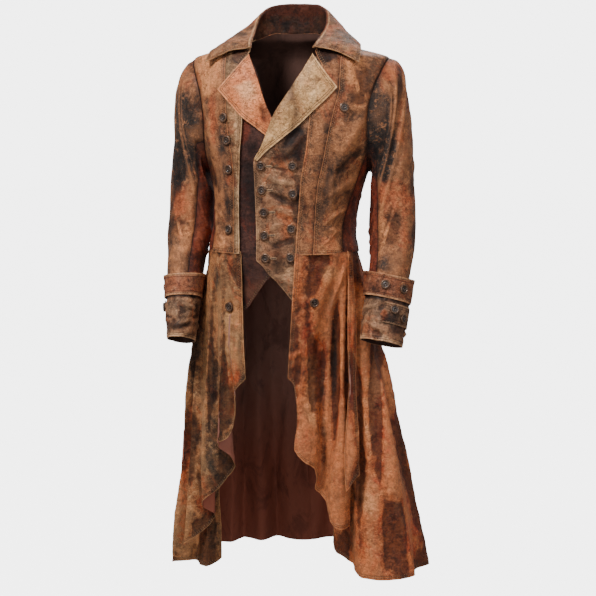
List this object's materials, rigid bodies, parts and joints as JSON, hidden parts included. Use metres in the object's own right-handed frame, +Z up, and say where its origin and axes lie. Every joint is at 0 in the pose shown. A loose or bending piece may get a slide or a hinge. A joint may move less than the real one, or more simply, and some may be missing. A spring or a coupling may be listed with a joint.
{
  "type": "tailcoat",
  "caption": "Worn leather tailcoat with a built-in double-breasted waistcoat, fold-over collar, wide lapels, two-tier cuffs, short cascading front skirts and long flared back skirts.",
  "frame": {"origin": "middle of the neck opening at the height of the shoulders' neck ends, where the wearer's shoulders carry the coat", "axes": "+Z up, -Y the coat's front, +X the wearer's left"},
  "size_m": [0.6098, 0.3991, 1.3125],
  "materials": {
    "leather_tan": "worn tan leather with dark smoky stains, semi-matt",
    "leather_brown": "worn brown leather stained grey-green and black, semi-matt",
    "leather_red": "worn red-brown leather, semi-matt",
    "leather_orange": "worn orange-brown leather with dark stains, semi-matt",
    "leather_grey": "worn grey-brown leather, semi-matt",
    "horn": "dark horn with a soft sheen"
  },
  "bodies": {
    "root": {"front_band_right": "leather_tan", "lapel_left": "leather_tan", "collar": "leather_tan", "front_band_left": "leather_brown", "front_left": "leather_brown", "front_right": "leather_brown", "skirt_front_right": "leather_brown", "back_left": "leather_brown", "back_right": "leather_brown", "sleeve_upper_left": "leather_brown", "sleeve_upper_right": "leather_brown", "skirt_back_right": "leather_brown", "side_body_left": "leather_red", "side_body_right": "leather_red", "sleeve_under_left": "leather_red", "sleeve_under_right": "leather_red", "lapel_right": "leather_orange", "cuff_upper_left": "leather_orange", "cuff_upper_right": "leather_orange", "skirt_front_left": "leather_orange", "skirt_back_left": "leather_orange", "side_strip_left": "leather_orange", "vest_front_left": "leather_grey", "vest_front_right": "leather_grey", "cuff_lower_left": "leather_grey", "cuff_lower_right": "leather_grey", "cuff_strap_left": "leather_grey", "cuff_strap_right": "leather_grey", "vest_button_left_1": "horn", "vest_button_left_2": "horn", "vest_button_left_3": "horn", "vest_button_left_4": "horn", "vest_button_left_5": "horn", "vest_button_right_1": "horn", "vest_button_right_2": "horn", "vest_button_right_3": "horn", "vest_button_right_4": "horn", "coat_button_right_1": "horn", "coat_button_right_2": "horn", "coat_button_right_3": "horn", "coat_button_right_4": "horn", "coat_button_left_1": "horn", "skirt_button_left_1": "horn", "skirt_button_right_1": "horn", "cuff_button_upper_a_left": "horn", "cuff_button_upper_b_left": "horn", "cuff_button_strap_a_left": "horn", "cuff_button_strap_b_left": "horn", "cuff_button_upper_a_right": "horn", "cuff_button_upper_b_right": "horn", "cuff_button_strap_a_right": "horn", "cuff_button_strap_b_right": "horn"}
  },
  "joints": []
}
